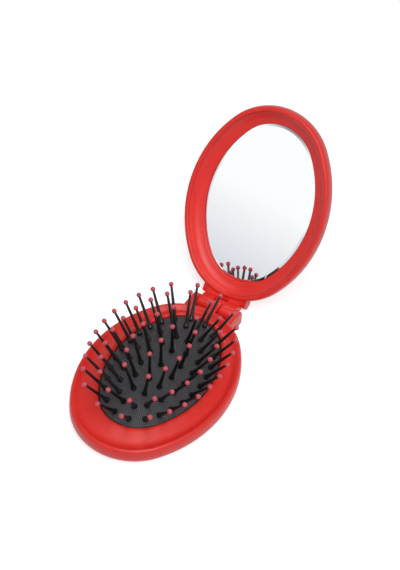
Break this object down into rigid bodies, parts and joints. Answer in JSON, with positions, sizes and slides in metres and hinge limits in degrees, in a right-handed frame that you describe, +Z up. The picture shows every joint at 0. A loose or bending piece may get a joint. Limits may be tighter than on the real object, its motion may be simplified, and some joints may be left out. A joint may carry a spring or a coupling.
{
  "type": "folding hairbrush",
  "caption": "Oval folding pocket hairbrush: a sinking cushion of splayed ball-tipped pins in the base, a push pad underneath, and a hinged lid that holds an oval mirror.",
  "frame": {"origin": "centre of the base's oval on its flat underside", "axes": "+X along the hinge pin, +Y from the middle of the brush to the hinge, +Z up; the lid stands open"},
  "size_m": [0.064, 0.1485, 0.0781],
  "materials": {
    "red_abs": "satin moulded ABS",
    "black_abs": "moulded ABS",
    "black_rubber": "rubber with a fine diagonal mesh",
    "black_nylon": "smooth moulded nylon",
    "pink_nylon": "smooth ball tips",
    "steel": "drawn wire",
    "mirror": "silvered glass with a ground bevel",
    "tape": "double-sided foam tape"
  },
  "bodies": {
    "base": {"base_shell": "red_abs", "base_back": "red_abs", "clamp_ring": "black_abs", "cushion": "black_rubber", "hinge_pin": "steel"},
    "plunger": {"push_pad": "red_abs", "pin_carrier": "black_abs", "core_pins": "black_nylon", "core_tips": "pink_nylon"},
    "lid": {"lid_shell": "red_abs", "mirror_frame": "red_abs", "mirror_glass": "mirror", "mirror_tape": "tape"},
    "pin_bank_1": {"bank_1_pins": "black_nylon", "bank_1_tips": "pink_nylon"},
    "pin_bank_2": {"bank_2_pins": "black_nylon", "bank_2_tips": "pink_nylon"},
    "pin_bank_3": {"bank_3_pins": "black_nylon", "bank_3_tips": "pink_nylon"},
    "pin_bank_4": {"bank_4_pins": "black_nylon", "bank_4_tips": "pink_nylon"},
    "pin_bank_5": {"bank_5_pins": "black_nylon", "bank_5_tips": "pink_nylon"},
    "pin_bank_6": {"bank_6_pins": "black_nylon", "bank_6_tips": "pink_nylon"},
    "pin_bank_7": {"bank_7_pins": "black_nylon", "bank_7_tips": "pink_nylon"},
    "pin_bank_8": {"bank_8_pins": "black_nylon", "bank_8_tips": "pink_nylon"},
    "pin_bank_9": {"bank_9_pins": "black_nylon", "bank_9_tips": "pink_nylon"},
    "pin_bank_10": {"bank_10_pins": "black_nylon", "bank_10_tips": "pink_nylon"}
  },
  "joints": [
    {"name": "lid_hinge", "type": "hinge", "parent": "base", "child": "lid", "pos_m": [0, 0.0475, 0.0044], "axis": [1, 0, 0], "range_deg": [0, 122]},
    {"name": "pad_slide", "type": "slide", "parent": "base", "child": "plunger", "axis": [0, 0, 1], "range_m": [-0.0138, 0], "deforming": ["cushion"]},
    {"name": "bank_1_tilt", "type": "hinge", "parent": "plunger", "child": "pin_bank_1", "pos_m": [0, -0.02365, 0.01004], "axis": [-1, 0, 0], "range_deg": [0, 30.5]},
    {"name": "bank_2_tilt", "type": "hinge", "parent": "plunger", "child": "pin_bank_2", "pos_m": [0.0101, -0.01667, 0.01004], "axis": [-0.5226, -0.8526, 0], "range_deg": [0, 30.5]},
    {"name": "bank_3_tilt", "type": "hinge", "parent": "plunger", "child": "pin_bank_3", "pos_m": [0.01485, -0.00471, 0.01004], "axis": [-0.2047, -0.9788, 0], "range_deg": [0, 30.5]},
    {"name": "bank_4_tilt", "type": "hinge", "parent": "plunger", "child": "pin_bank_4", "pos_m": [0.01529, 0.00816, 0.01004], "axis": [0.137, -0.9906, 0], "range_deg": [0, 30.5]},
    {"name": "bank_5_tilt", "type": "hinge", "parent": "plunger", "child": "pin_bank_5", "pos_m": [0.0101, 0.02267, 0.01004], "axis": [0.5226, -0.8526, 0], "range_deg": [0, 30.5]},
    {"name": "bank_6_tilt", "type": "hinge", "parent": "plunger", "child": "pin_bank_6", "pos_m": [0, 0.02965, 0.01004], "axis": [1, 0, 0], "range_deg": [0, 30.5]},
    {"name": "bank_7_tilt", "type": "hinge", "parent": "plunger", "child": "pin_bank_7", "pos_m": [-0.0101, 0.02267, 0.01004], "axis": [0.5226, 0.8526, 0], "range_deg": [0, 30.5]},
    {"name": "bank_8_tilt", "type": "hinge", "parent": "plunger", "child": "pin_bank_8", "pos_m": [-0.01529, 0.00816, 0.01004], "axis": [0.137, 0.9906, 0], "range_deg": [0, 30.5]},
    {"name": "bank_9_tilt", "type": "hinge", "parent": "plunger", "child": "pin_bank_9", "pos_m": [-0.01485, -0.00471, 0.01004], "axis": [-0.2047, 0.9788, 0], "range_deg": [0, 30.5]},
    {"name": "bank_10_tilt", "type": "hinge", "parent": "plunger", "child": "pin_bank_10", "pos_m": [-0.0101, -0.01667, 0.01004], "axis": [-0.5226, 0.8526, 0], "range_deg": [0, 30.5]}
  ],
  "couplings": [
    {"joint": "pad_slide", "follows": "lid_hinge", "m_per_rad": -0.0064786},
    {"joint": "bank_1_tilt", "follows": "lid_hinge", "ratio": 0.24984},
    {"joint": "bank_2_tilt", "follows": "lid_hinge", "ratio": 0.24984},
    {"joint": "bank_3_tilt", "follows": "lid_hinge", "ratio": 0.24984},
    {"joint": "bank_4_tilt", "follows": "lid_hinge", "ratio": 0.24984},
    {"joint": "bank_5_tilt", "follows": "lid_hinge", "ratio": 0.24984},
    {"joint": "bank_6_tilt", "follows": "lid_hinge", "ratio": 0.24984},
    {"joint": "bank_7_tilt", "follows": "lid_hinge", "ratio": 0.24984},
    {"joint": "bank_8_tilt", "follows": "lid_hinge", "ratio": 0.24984},
    {"joint": "bank_9_tilt", "follows": "lid_hinge", "ratio": 0.24984},
    {"joint": "bank_10_tilt", "follows": "lid_hinge", "ratio": 0.24984}
  ]
}
